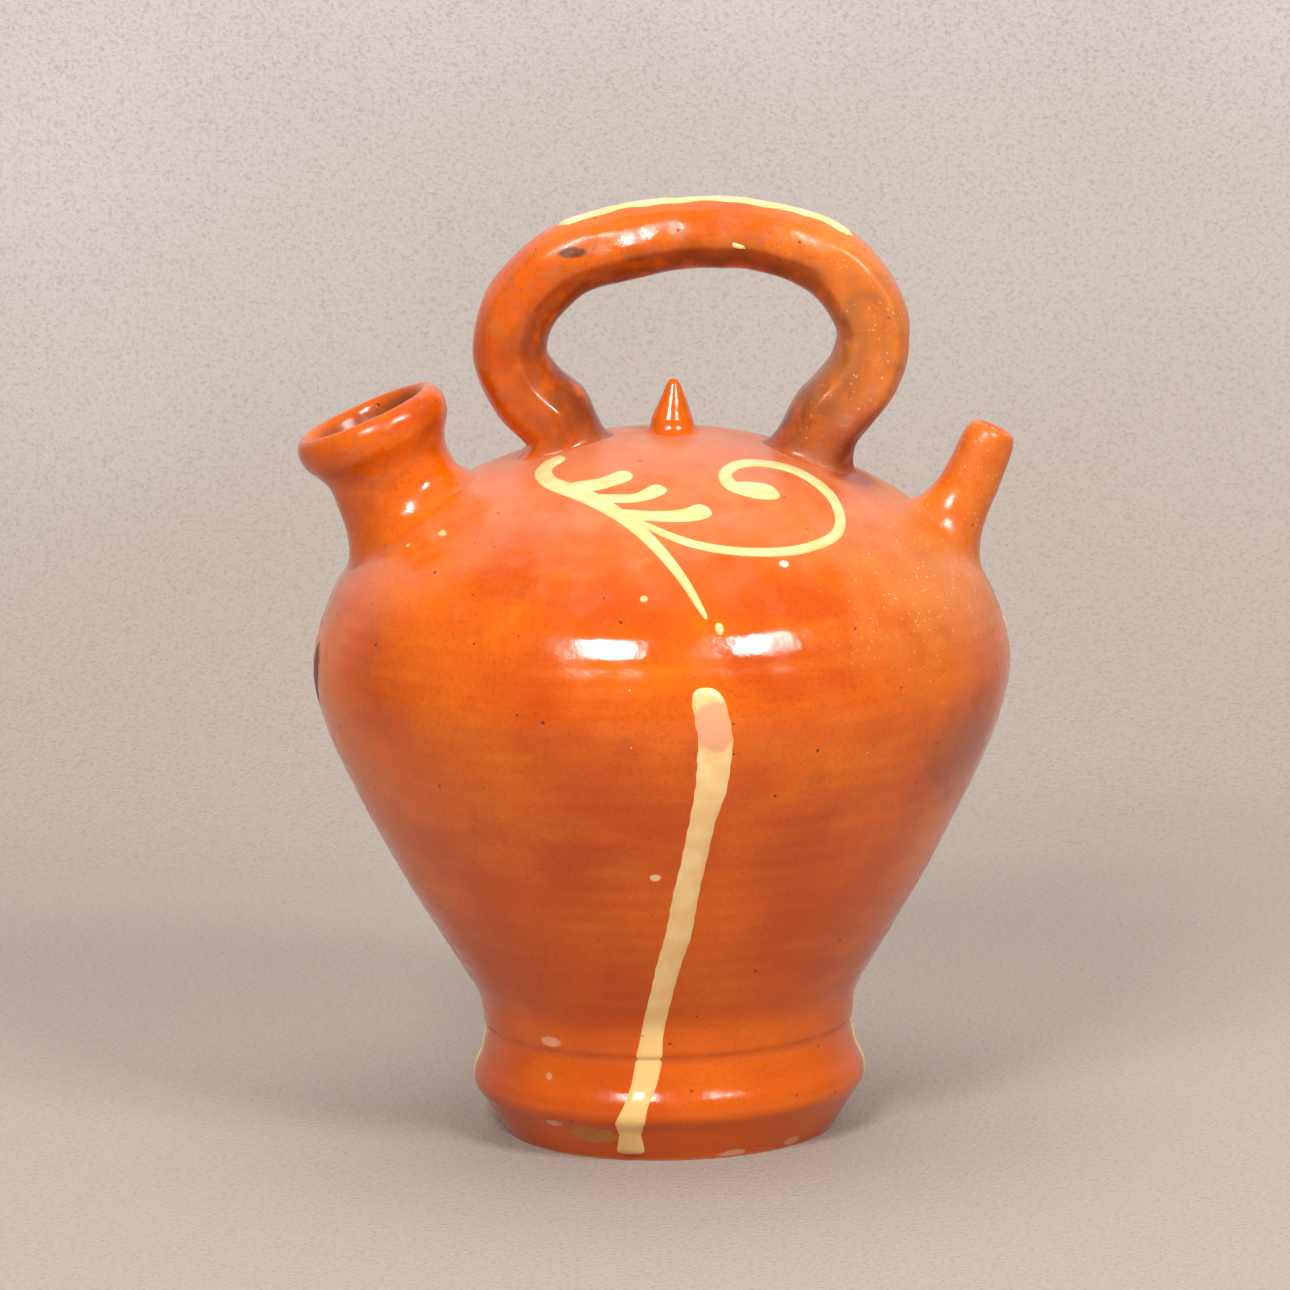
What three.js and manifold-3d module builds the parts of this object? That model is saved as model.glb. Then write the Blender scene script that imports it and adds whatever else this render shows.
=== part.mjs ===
// A lead-glazed earthenware jug of the closed kind that stands on the floor or hangs from a hand:
// a thrown, hollow body, a short filling neck with a rolled rim on one shoulder, a thin drinking
// spout on the other, a thick pulled handle looped over the top and a small pinched knob under it.
// White slip is trailed over it, as four bands down the sides, a spray on the shoulder and a stripe
// on the handle.
//
// Millimetres, +Z up. The origin is the centre of the flat base, +X points to the drinking spout,
// -X to the filling neck and -Y to the side with the spray.
import * as THREE from "three";
import { mergeVertices } from "three/addons/utils/BufferGeometryUtils.js";
import Module from "manifold-3d";

const wasm = await Module();
wasm.setup();

// Body: one thrown shell. Heights and radii are those of the outer face.
const BASE_RADIUS = 48.5;
const BEVEL_RADIUS = 54.7;
const BEVEL_HEIGHT = 10.2;
const WAIST_RADIUS = 53.3;
const WAIST_HEIGHT = 31.5;
const LEDGE_STEP = 0.9;
const BELLY_RADIUS = 102;
const BELLY_HEIGHT = 141;
const BODY_HEIGHT = 207.3;
const WALL = 5.2;
const FLOOR = 8;
const BODY_SEGMENTS = 64;
const BODY_ROWS = 24;
const INSIDE_ROWS = 16;

// Lines that are dropped on the body start at this height, clear of it.
const ABOVE = BODY_HEIGHT + 30;

// A luted piece stands this far clear of the body, as a dried joint does.
const SEAT_GAP = 0.3;
// The smeared edge of a luted piece is this thick where it ends on the body.
const LUTED_EDGE = 0.7;

// Filling neck: leans outwards over the left shoulder.
const NECK_LEAN = THREE.MathUtils.degToRad(-22.5);
const NECK_OFFSET = 3;
const NECK_BORE = 13.5;
const NECK_FOOTPRINT = 27;
const NECK_SEGMENTS = 32;

// Drinking spout: leans outwards over the right shoulder.
const SPOUT_LEAN = THREE.MathUtils.degToRad(25);
const SPOUT_OFFSET = 1.9;
const SPOUT_BORE = 3.3;
const SPOUT_FOOTPRINT = 16.5;
const SPOUT_SEGMENTS = 20;

// Handle: a pulled strap with a soft ridge along its edges, so its section is a fat lozenge.
const HANDLE_SIDES = 20;
const HANDLE_STATIONS = 22;
const HANDLE_FULLNESS = 2.3;
const HANDLE_RIDGE = 0.06;
// Each root covers an oval of the crown between these places on X, this far to front and back.
const NECK_ROOT = { outer: -47, inner: -10 };
const SPOUT_ROOT = { outer: 60, inner: 27 };
const HANDLE_ROOT_DEPTH = 15;

// Knob: a pinched cone of clay on the crown of the body, under the handle.
const KNOB_X = 4.3;
const KNOB_LEAN = THREE.MathUtils.degToRad(2.2);
const KNOB_FOOTPRINT = 6.9;
const KNOB_SEGMENTS = 16;

// Slip: white clay trailed from a horn.
const SLIP_THICKNESS = 0.9;
const BAND_HALF_WIDTH = 4.4;
const BAND_TOP = 151;
const BAND_FOOT = 1.5;
// Where the straight bands lie round the body, in degrees from the spray towards the spout.
const STRAIGHT_BANDS = { slip_band_right: 94, slip_band_back: 180, slip_band_left: 266 };
// The front band drifts as it runs up: its azimuth in degrees at every step of height.
const DRIFT_STEP = 20;
const FRONT_DRIFT = [-14, -9.2, -4.6, -0.5, 2.8, 5.5, 7.6, 8.2, 6];
// Places on the handle are shares of its loop from the root by the neck, and angles round its
// section from the outer face towards the front.
const STRIPE = { from: 0.37, to: 0.73, angle: -0.12, halfWidth: 3.6 };
const HANDLE_DROP = { from: 0.583, to: 0.601, angle: 1.7, halfWidth: 1.1 };

const GLAZED_CLAY = { color: 0xb8460f, roughness: 0.16, metalness: 0 };
const WHITE_SLIP = { color: 0xe8c983, roughness: 0.2, metalness: 0 };

const jug = new THREE.Group();

// A named mesh with a material of its own, added to the jug.
function addPiece(name, geometry, finish) {
  const mesh = new THREE.Mesh(geometry, new THREE.MeshStandardMaterial(finish));
  mesh.name = name;
  jug.add(mesh);
}

function solidOf(geometry) {
  const bare = geometry.clone();
  bare.deleteAttribute("normal");
  bare.deleteAttribute("uv");
  const merged = mergeVertices(bare, 1e-4);
  const vertProperties = merged.attributes.position.array;
  const triVerts = new Uint32Array(merged.index.array);
  return new wasm.Manifold(new wasm.Mesh({ numProp: 3, vertProperties, triVerts }));
}

function geometryOf(solid) {
  const { vertProperties, triVerts } = solid.getMesh();
  const geometry = new THREE.BufferGeometry();
  geometry.setAttribute("position", new THREE.BufferAttribute(vertProperties, 3));
  geometry.setIndex(new THREE.BufferAttribute(triVerts, 1));
  geometry.computeVertexNormals();
  return geometry;
}

// A surface of revolution about +Z from an outline of (radius, height) points, listed upwards.
function turned(outline, segments) {
  return new THREE.LatheGeometry(outline, segments).rotateX(Math.PI / 2);
}

// A skin over a row of rings with equal numbers of points. The rings run on in the direction that
// makes their points turn clockwise when seen from ahead. A looped skin joins the last ring to the
// first, and any other is closed at each end by a fan to the middle of its last ring.
function skinOver(rings, { looped = false, startPole, endPole } = {}) {
  const sides = rings[0].length;
  const points = rings.flat();
  const faces = [];
  const spans = looped ? rings.length : rings.length - 1;
  for (let row = 0; row < spans; row++) {
    const here = row * sides;
    const next = ((row + 1) % rings.length) * sides;
    for (let side = 0; side < sides; side++) {
      const beside = (side + 1) % sides;
      faces.push(here + side, next + side, here + beside);
      faces.push(here + beside, next + side, next + beside);
    }
  }
  if (!looped) {
    const last = (rings.length - 1) * sides;
    points.push(startPole ?? middleOf(rings[0]), endPole ?? middleOf(rings.at(-1)));
    const [start, end] = [points.length - 2, points.length - 1];
    for (let side = 0; side < sides; side++) {
      const beside = (side + 1) % sides;
      faces.push(start, side, beside);
      faces.push(end, last + beside, last + side);
    }
  }
  const geometry = new THREE.BufferGeometry().setFromPoints(points);
  geometry.setIndex(faces);
  geometry.computeVertexNormals();
  return geometry;
}

function middleOf(ring) {
  const sum = ring.reduce((total, point) => total.add(point), new THREE.Vector3());
  return sum.divideScalar(ring.length);
}

const at = (radius, height) => new THREE.Vector2(radius, height);

// The foot flares out from the base to a sharp trimmed edge, rolls over and draws in to the waist,
// where a small ledge marks the start of the belly. The belly swells to its widest above the middle
// and closes over in a low dome.
const footCurve = new THREE.SplineCurve([
  at(BEVEL_RADIUS, BEVEL_HEIGHT),
  at(57.3, 14),
  at(57, 18.5),
  at(54.9, 23.5),
  at(WAIST_RADIUS, WAIST_HEIGHT),
]);
const bellyCurve = new THREE.SplineCurve([
  at(WAIST_RADIUS + LEDGE_STEP, WAIST_HEIGHT + LEDGE_STEP),
  at(55.6, 41),
  at(60.7, 50),
  at(68, 62),
  at(76.3, 76),
  at(84.7, 92),
  at(92.8, 108),
  at(99.2, 124),
  at(BELLY_RADIUS, BELLY_HEIGHT),
  at(96.5, 160.5),
  at(87.5, 173),
  at(77, 182.3),
  at(65, 190.2),
  at(53, 196),
  at(40.5, 200.8),
  at(27, 204.6),
  at(13.5, 206.7),
  at(0, BODY_HEIGHT),
]);

// The outer outline from the rim of the base to the crown, in as many rows as are asked for.
function outerOutline(footRows, bellyRows) {
  return [
    at(BASE_RADIUS, 0),
    ...footCurve.getPoints(footRows),
    ...bellyCurve.getSpacedPoints(bellyRows),
  ];
}

const FOOT_ROWS = 7;
const FINE_ROWS = 600;
const bodyRows = outerOutline(FOOT_ROWS, BODY_ROWS);
const fineOutline = outerOutline(60, FINE_ROWS);

// The place on the fine outline at a height: its radius and the outward normal there.
function outlineAt(height) {
  const above = fineOutline.findIndex((point) => point.y > height);
  if (above < 1) return { radius: 0, normal: at(0, 1) };
  const [low, high] = [fineOutline[above - 1], fineOutline[above]];
  const share = (height - low.y) / (high.y - low.y);
  const normal = at(high.y - low.y, low.x - high.x).normalize();
  return { radius: THREE.MathUtils.lerp(low.x, high.x, share), normal };
}

function insideBody(point) {
  return Math.hypot(point.x, point.y) < outlineAt(point.z).radius;
}

// The outward normal of the body at a point of its face.
function bodyNormal(point) {
  const { normal } = outlineAt(point.z);
  const around = Math.atan2(point.y, point.x);
  return new THREE.Vector3(normal.x * Math.cos(around), normal.x * Math.sin(around), normal.y);
}

const STRAIGHT_DOWN = new THREE.Vector3(0, 0, -1);

// The point where a line from outside meets the body, lifted off it by a clearance.
function seatPoint(from, direction, lift = SEAT_GAP) {
  let [outside, inside] = [0, BODY_HEIGHT];
  const probe = new THREE.Vector3();
  const follow = (distance) => probe.copy(direction).multiplyScalar(distance).add(from);
  for (let halving = 0; halving < 40; halving++) {
    const middle = (outside + inside) / 2;
    if (insideBody(follow(middle))) inside = middle;
    else outside = middle;
  }
  const met = follow(outside).clone();
  return met.addScaledVector(bodyNormal(met), lift);
}

// A cubic from one point to another that leaves and arrives in the given directions.
function blendPoint(start, leaving, end, arriving, share) {
  const [s2, s3] = [share ** 2, share ** 3];
  return new THREE.Vector3()
    .addScaledVector(start, 2 * s3 - 3 * s2 + 1)
    .addScaledVector(leaving, s3 - 2 * s2 + share)
    .addScaledVector(end, 3 * s2 - 2 * s3)
    .addScaledVector(arriving, s3 - s2);
}

// The rings of a skirt of smeared clay that runs from a ring of a piece down to the body. Each
// point leaves along `down` and arrives flat on the body, away from the middle of the footprint.
function skirtRings(ring, footprint, down, rows) {
  const middle = middleOf(footprint);
  const paths = ring.map((start, side) => {
    const seat = footprint[side];
    const normal = bodyNormal(seat);
    const end = seat.clone().addScaledVector(normal, LUTED_EDGE);
    const reach = start.distanceTo(end);
    const arriving = seat.clone().sub(middle).projectOnPlane(normal).setLength(reach);
    return { start, end, arriving, leaving: down.clone().multiplyScalar(reach) };
  });
  const rings = [];
  for (let row = 1; row <= rows; row++) {
    const share = row / rows;
    rings.push(paths.map((p) => blendPoint(p.start, p.leaving, p.end, p.arriving, share)));
  }
  return rings;
}

// The point of the body under a place given in plan.
function seatUnder(x, y, lift) {
  return seatPoint(new THREE.Vector3(x, y, ABOVE), STRAIGHT_DOWN, lift);
}

// A frame for a round piece that leans in the XZ plane: its axis, and the direction square to it.
function leaningFrame(lean, offset) {
  const axis = new THREE.Vector3(Math.sin(lean), 0, Math.cos(lean));
  const across = new THREE.Vector3(Math.cos(lean), 0, -Math.sin(lean));
  return { axis, across, centre: across.clone().multiplyScalar(offset) };
}

// A ring of points round a leaning axis, clockwise when seen from its outer end.
function ringRound({ axis, across, centre }, radius, along, sides) {
  return Array.from({ length: sides }, (_, side) => {
    const angle = (-2 * Math.PI * side) / sides;
    return centre
      .clone()
      .addScaledVector(axis, along)
      .addScaledVector(across, radius * Math.cos(angle))
      .add(new THREE.Vector3(0, radius * Math.sin(angle), 0));
  });
}

// The ring that a cylinder round the leaning axis draws on the body.
function footprintRing(frame, radius, sides) {
  const down = frame.axis.clone().negate();
  return ringRound(frame, radius, ABOVE, sides).map((point) => seatPoint(point, down));
}

// A tube luted on the shoulder over a hole. `outline` lists its (radius, distance along the axis)
// from the foot of the straight part, over the rim and down to the start of the bore.
function lutedTube(frame, outline, bore, footprint, sides) {
  const rings = outline.map((point) => ringRound(frame, point.x, point.y, sides));
  const base = footprintRing(frame, footprint, sides);
  const down = frame.axis.clone().negate();
  const skirt = skirtRings(rings[0], base, down, 6).reverse();
  const seat = [bore, (bore + footprint) / 2].map((r) => footprintRing(frame, r, sides));
  return skinOver([...skirt, ...rings, ...seat, base], { looped: true });
}

// The drill that opens the shoulder under a luted tube. It is long enough to pass the wall slantwise.
function shoulderHole(frame, radius, sides) {
  const length = 12 * WALL;
  const drill = new THREE.CylinderGeometry(radius, radius, length, sides).rotateX(Math.PI / 2);
  const turn = new THREE.Quaternion().setFromUnitVectors(new THREE.Vector3(0, 0, 1), frame.axis);
  const place = frame.centre.clone().addScaledVector(frame.axis, BODY_HEIGHT - WALL);
  return solidOf(drill.applyQuaternion(turn).translate(place.x, place.y, place.z));
}

// The body is hollow: its inside follows the outer face at the wall's thickness down to a thick
// floor, and two holes open it under the neck and the spout.
function thrownBody(neckFrame, spoutFrame) {
  const outside = [at(0, 0), ...bodyRows];
  const rows = bellyCurve.getSpacedPoints(INSIDE_ROWS).slice(2, -1);
  const inner = rows.map((point) => {
    const { normal } = outlineAt(point.y);
    return at(point.x - normal.x * WALL, point.y - normal.y * WALL);
  });
  const well = [at(0, FLOOR), at(34, FLOOR), at(42, FLOOR + 3), at(46, FLOOR + 12), at(47.5, 34)];
  const inside = [...well, ...inner, at(0, BODY_HEIGHT - WALL)];
  const shell = solidOf(turned(outside, BODY_SEGMENTS))
    .subtract(solidOf(turned(inside, BODY_SEGMENTS)))
    .subtract(shoulderHole(neckFrame, NECK_BORE, NECK_SEGMENTS))
    .subtract(shoulderHole(spoutFrame, SPOUT_BORE, SPOUT_SEGMENTS));
  return geometryOf(shell);
}

// The neck narrows above the shoulder and opens into a thick rim rolled outwards.
function fillingNeck(frame) {
  const outline = [
    at(18.3, 208),
    at(18.2, 213),
    at(19.7, 218),
    at(22.2, 222),
    at(23, 225.5),
    at(22.4, 228.6),
    at(20.4, 230.6),
    at(18.3, 230.2),
    at(17.2, 228),
    at(15.2, 222),
    at(13.8, 214),
    at(NECK_BORE, 206),
  ];
  return lutedTube(frame, outline, NECK_BORE, NECK_FOOTPRINT, NECK_SEGMENTS);
}

// The spout tapers slightly to a rounded lip round a narrow bore.
function drinkingSpout(frame) {
  const outline = [
    at(8.4, 211),
    at(8.1, 216),
    at(7.9, 222),
    at(7.1, 226.4),
    at(6, 228.4),
    at(4.6, 228.7),
    at(SPOUT_BORE, 227.4),
    at(SPOUT_BORE, 214),
  ];
  return lutedTube(frame, outline, SPOUT_BORE, SPOUT_FOOTPRINT, SPOUT_SEGMENTS);
}

// The middle line of the handle, from the root by the neck over the top to the root by the spout,
// with half its thickness in the plane of the loop and half its depth.
const handleKnots = [
  { x: -30.5, z: 213, thick: 11.8, deep: 14.2 },
  { x: -38.5, z: 221, thick: 11.3, deep: 13.6 },
  { x: -42.6, z: 232, thick: 11, deep: 13.2 },
  { x: -38.6, z: 245.5, thick: 11, deep: 13 },
  { x: -26, z: 257.5, thick: 10.8, deep: 13 },
  { x: -5.5, z: 263.5, thick: 10.8, deep: 13 },
  { x: 14, z: 265.5, thick: 10.3, deep: 13 },
  { x: 34, z: 263.3, thick: 10.3, deep: 13 },
  { x: 53, z: 254.5, thick: 10.8, deep: 13 },
  { x: 62.9, z: 238.5, thick: 10.7, deep: 13.2 },
  { x: 60.5, z: 224, thick: 10.8, deep: 13.6 },
  { x: 50.5, z: 212, thick: 11.3, deep: 14.2 },
];
const handleLine = new THREE.CatmullRomCurve3(
  handleKnots.map((knot) => new THREE.Vector3(knot.x, 0, knot.z)),
);
const handleSizes = new THREE.SplineCurve(handleKnots.map((knot) => at(knot.thick, knot.deep)));

// A point of the handle's face. `along` runs from 0 to 1 over the loop and `angle` round the
// section, from the outer face at 0 to the front edge at a quarter turn.
function handlePoint(along, angle, lift = 0) {
  const tangent = handleLine.getTangent(along);
  const outward = new THREE.Vector3(-tangent.z, 0, tangent.x);
  const { x: thick, y: deep } = handleSizes.getPoint(along);
  const [cos, sin] = [Math.cos(angle), Math.sin(angle)];
  const filled = (part) => Math.sign(part) * Math.abs(part) ** (2 / HANDLE_FULLNESS);
  const ridge = 1 + HANDLE_RIDGE * sin ** 8;
  const forward = filled(sin) * deep * ridge + lift * sin;
  return handleLine
    .getPoint(along)
    .addScaledVector(outward, filled(cos) * thick + lift * cos)
    .add(new THREE.Vector3(0, -forward, 0));
}

function handleRing(along) {
  return Array.from({ length: HANDLE_SIDES }, (_, side) =>
    handlePoint(along, (-2 * Math.PI * side) / HANDLE_SIDES),
  );
}

// The oval that a root covers on the crown, or that oval shrunk about its middle.
function rootFootprint({ outer, inner }, scale) {
  const centre = (outer + inner) / 2;
  return Array.from({ length: HANDLE_SIDES }, (_, side) => {
    const angle = (-2 * Math.PI * side) / HANDLE_SIDES;
    const x = centre + ((outer - inner) / 2) * Math.cos(angle) * scale;
    const y = -HANDLE_ROOT_DEPTH * Math.sin(angle) * scale;
    return seatUnder(x, y);
  });
}

// The handle is a pulled strap whose two roots are smeared out over the crown.
function loopHandle() {
  const rings = [];
  for (let station = 0; station <= HANDLE_STATIONS; station++) {
    rings.push(handleRing(station / HANDLE_STATIONS));
  }
  const root = (ring, place, down) => {
    const base = rootFootprint(place, 1);
    const seat = [2 / 3, 1 / 3].map((scale) => rootFootprint(place, scale));
    return [...skirtRings(ring, base, down, 5), base, ...seat];
  };
  const left = root(rings[0], NECK_ROOT, handleLine.getTangent(0).negate());
  const right = root(rings.at(-1), SPOUT_ROOT, handleLine.getTangent(1));
  const pole = ({ outer, inner }) => seatUnder((outer + inner) / 2, 0);
  return skinOver([...left.reverse(), ...rings, ...right], {
    startPole: pole(NECK_ROOT),
    endPole: pole(SPOUT_ROOT),
  });
}

// The knob is a cone pinched to a blunt tip that leans a little towards the spout.
function pinchedKnob() {
  const offset = KNOB_X * Math.cos(KNOB_LEAN) - BODY_HEIGHT * Math.sin(KNOB_LEAN);
  const frame = leaningFrame(KNOB_LEAN, offset);
  const outline = [at(5.2, 212), at(4, 215.5), at(2.8, 219), at(1.8, 221.6), at(0.9, 222.4)];
  const rings = outline.map((point) => ringRound(frame, point.x, point.y, KNOB_SEGMENTS));
  const base = footprintRing(frame, KNOB_FOOTPRINT, KNOB_SEGMENTS);
  const seat = footprintRing(frame, KNOB_FOOTPRINT / 2, KNOB_SEGMENTS);
  const skirt = skirtRings(rings[0], base, frame.axis.clone().negate(), 3).reverse();
  return skinOver([seat, base, ...skirt, ...rings]);
}

// One cross ring of a slip trail: flat under, crowned over. `place` gives a point from its
// distance across the trail and its height above what carries the trail.
function trailRing(place, halfWidth, thickness) {
  const low = SEAT_GAP;
  const crown = SEAT_GAP + thickness;
  return [
    place(halfWidth, low),
    place(0, low),
    place(-halfWidth, low),
    place(-0.82 * halfWidth, (low + 2 * crown) / 3),
    place(0, crown),
    place(0.82 * halfWidth, (low + 2 * crown) / 3),
  ];
}

// A trail that runs down the body, in the rows of its outline. `azimuthAt` gives where it lies
// round the body at a height, in degrees.
function slipBand(azimuthAt) {
  const heights = bodyRows.map((point) => point.y);
  const between = heights.filter((height) => height > BAND_FOOT + 1 && height < BAND_TOP - 2);
  const rows = [BAND_TOP, ...between.reverse(), BAND_FOOT];
  const rings = rows.map((height, row) => {
    const { radius, normal } = smoothOutlineAt(height);
    const middle = THREE.MathUtils.degToRad(azimuthAt(height));
    const place = (across, lift) => {
      const around = middle + across / radius;
      const reach = radius + normal.x * lift;
      const z = height + normal.y * lift;
      return new THREE.Vector3(reach * Math.sin(around), -reach * Math.cos(around), z);
    };
    const ends = row === 0 || row === rows.length - 1 ? 0.6 : 1;
    return trailRing(place, BAND_HALF_WIDTH * ends, SLIP_THICKNESS * ends);
  });
  return skinOver(rings);
}

// The outline at a height with its normal averaged over the corner that may lie there.
function smoothOutlineAt(height) {
  const { radius } = outlineAt(height);
  const step = 0.6;
  const normal = outlineAt(height - step).normal.add(outlineAt(height + step).normal).normalize();
  return { radius, normal };
}

// A trail laid on the shoulder through points given in plan, with the half width at each.
function slipStroke(knots, stations) {
  const seated = knots.map(([x, y]) => seatUnder(x, y, 0));
  const line = new THREE.CatmullRomCurve3(seated);
  const widths = new THREE.SplineCurve(knots.map(([, , half], knot) => at(knot, half)));
  const rings = [];
  for (let station = 0; station <= stations; station++) {
    const share = station / stations;
    const centre = line.getPoint(share);
    const normal = bodyNormal(seatUnder(centre.x, centre.y, 0));
    const across = normal.clone().cross(line.getTangent(share)).normalize();
    const place = (sideways, lift) => {
      const spot = centre.clone().addScaledVector(across, sideways);
      return seatUnder(spot.x, spot.y, lift);
    };
    const ends = station === 0 || station === stations ? 0.45 : 1;
    rings.push(trailRing(place, widths.getPoint(share).y * ends, SLIP_THICKNESS * ends));
  }
  return skinOver(rings);
}

// A trail laid along the handle between two places on its loop, at an angle round its section.
function slipStripe({ from, to, angle, halfWidth }, stations) {
  const rings = [];
  for (let station = 0; station <= stations; station++) {
    const along = THREE.MathUtils.lerp(from, to, station / stations);
    const ends = station === 0 || station === stations ? 0.5 : 1;
    const reach = handleSizes.getPoint(along).y;
    const place = (across, lift) => handlePoint(along, angle - across / reach, lift);
    rings.push(trailRing(place, halfWidth * ends, SLIP_THICKNESS * ends));
  }
  return skinOver(rings);
}

const neckFrame = leaningFrame(NECK_LEAN, NECK_OFFSET);
const spoutFrame = leaningFrame(SPOUT_LEAN, SPOUT_OFFSET);

addPiece("thrown_body", thrownBody(neckFrame, spoutFrame), GLAZED_CLAY);
addPiece("filling_neck", fillingNeck(neckFrame), GLAZED_CLAY);
addPiece("drinking_spout", drinkingSpout(spoutFrame), GLAZED_CLAY);
addPiece("loop_handle", loopHandle(), GLAZED_CLAY);
addPiece("pinched_knob", pinchedKnob(), GLAZED_CLAY);

// The front band wanders as it runs down, and the others fall straight.
const drift = new THREE.SplineCurve(FRONT_DRIFT.map((azimuth, step) => at(step, azimuth)));
const driftHeight = DRIFT_STEP * (FRONT_DRIFT.length - 1);

addPiece("slip_band_front", slipBand((height) => drift.getPoint(height / driftHeight).y), WHITE_SLIP);
for (const [name, azimuth] of Object.entries(STRAIGHT_BANDS)) {
  addPiece(name, slipBand(() => azimuth), WHITE_SLIP);
}

// The spray on the shoulder, in plan: a hooked stem that tapers down to a drop, three leaves on its
// right and a scroll that swings round and curls in on itself. Each knot is [x, y, half width].
const spray = {
  slip_spray_stem: [
    [-25, -18.5, 3],
    [-30, -20.5, 3.2],
    [-33.2, -26, 2.6],
    [-32.3, -32.5, 2.4],
    [-28.5, -38.5, 2.8],
    [-20, -48.5, 3],
    [-10, -60.5, 2.5],
    [-1.5, -71.5, 2.1],
    [5.5, -81, 1.7],
    [12.4, -90.4, 0.9],
  ],
  slip_spray_drop: [
    [14.8, -92.2, 0.8],
    [16.3, -92.2, 1.3],
    [17.8, -92, 0.9],
  ],
  slip_spray_leaf_upper: [
    [-19.5, -40.4, 1.6],
    [-14.5, -41, 3.2],
    [-11, -39.5, 3.8],
    [-7, -37.5, 3.4],
  ],
  slip_spray_leaf_middle: [
    [-12, -50.2, 1.2],
    [-7, -51.4, 2.2],
    [-2.5, -49.5, 3],
    [2, -45.8, 3.4],
  ],
  slip_spray_leaf_lower: [
    [-4, -59.3, 1.5],
    [4.5, -60.5, 2.7],
    [9.5, -59.3, 3.5],
    [14.6, -56, 4],
  ],
  slip_spray_scroll: [
    [0.5, -67, 1.2],
    [12.5, -71.5, 1.6],
    [24, -71.2, 1.6],
    [35.5, -67.5, 1.6],
    [44, -61.5, 1.6],
    [50, -54, 1.6],
    [52, -45.5, 1.8],
    [50.2, -35.5, 2.2],
    [45.5, -27.5, 3],
    [38.5, -23.5, 3.2],
    [30, -25, 2.7],
    [22.8, -29.8, 2.3],
    [19.2, -37, 2],
    [21, -43.2, 2.6],
    [26, -44.8, 3.6],
    [31, -43.4, 3.8],
    [35, -41, 2.8],
  ],
};
for (const [name, knots] of Object.entries(spray)) {
  addPiece(name, slipStroke(knots, 3 * (knots.length - 1)), WHITE_SLIP);
}

// A stripe lies along the top of the handle, just behind its crest, and a drop on its front edge.
addPiece("slip_handle_stripe", slipStripe(STRIPE, 14), WHITE_SLIP);
addPiece("slip_handle_drop", slipStripe(HANDLE_DROP, 3), WHITE_SLIP);

export default jug;
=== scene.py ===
"""A glazed slipware jug with a filling neck, a drinking spout and a loop handle, built round its frame.

Sizes are in millimetres where a name or a property says so, and meshes are in metres. The origin is
the centre of the flat base, +Z is up, +X points to the drinking spout and -Y to the trailed spray.
"""

import math

import bpy
import numpy as np
from bpy.props import FloatProperty, FloatVectorProperty, IntProperty, PointerProperty
from mathutils import Matrix, Vector


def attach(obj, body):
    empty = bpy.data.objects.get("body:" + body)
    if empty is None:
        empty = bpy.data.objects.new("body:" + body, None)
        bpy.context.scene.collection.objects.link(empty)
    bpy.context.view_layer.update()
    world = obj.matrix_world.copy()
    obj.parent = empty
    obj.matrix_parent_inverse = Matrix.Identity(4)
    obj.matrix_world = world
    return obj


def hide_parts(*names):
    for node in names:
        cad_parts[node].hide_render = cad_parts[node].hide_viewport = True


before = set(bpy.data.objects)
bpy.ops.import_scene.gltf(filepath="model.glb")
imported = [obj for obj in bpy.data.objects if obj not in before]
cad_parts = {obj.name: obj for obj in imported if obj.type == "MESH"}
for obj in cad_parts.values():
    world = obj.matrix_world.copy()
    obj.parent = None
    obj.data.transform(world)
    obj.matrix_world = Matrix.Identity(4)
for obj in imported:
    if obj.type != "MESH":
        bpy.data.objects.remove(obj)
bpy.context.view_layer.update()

bl_info = {
    "name": "Slipware jug",
    "version": (1, 0, 0),
    "blender": (4, 5, 0),
    "location": "View3D > Sidebar > Jug",
    "description": "Builds a glazed slipware jug with its trailed slip, and a plain studio round it",
    "category": "Add Mesh",
}

MM = 0.001
TAU = 2 * math.pi
DOWN = Vector((0, 0, -1))


def catmull_rom(knots, count):
    """`count` points along a smooth curve through the knots, evenly shared between them."""
    pts = np.array([knots[0], *knots, knots[-1]], float)
    spans = len(knots) - 1
    places = np.linspace(0, spans, count)
    result = []
    for place in places:
        k = min(int(place), spans - 1)
        t = place - k
        p0, p1, p2, p3 = pts[k : k + 4]
        cubic = 2 * p1 + (p2 - p0) * t
        cubic = cubic + (2 * p0 - 5 * p1 + 4 * p2 - p3) * t**2
        cubic = cubic + (3 * p1 - p0 - 3 * p2 + p3) * t**3
        result.append(cubic / 2)
    return np.array(result)


def even_steps(points, count):
    """The same line in `count` points at equal distances."""
    run = np.concatenate([[0], np.cumsum(np.linalg.norm(np.diff(points, axis=0), axis=1))])
    marks = np.linspace(0, run[-1], count)
    return np.stack([np.interp(marks, run, column) for column in points.T], axis=1)


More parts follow.
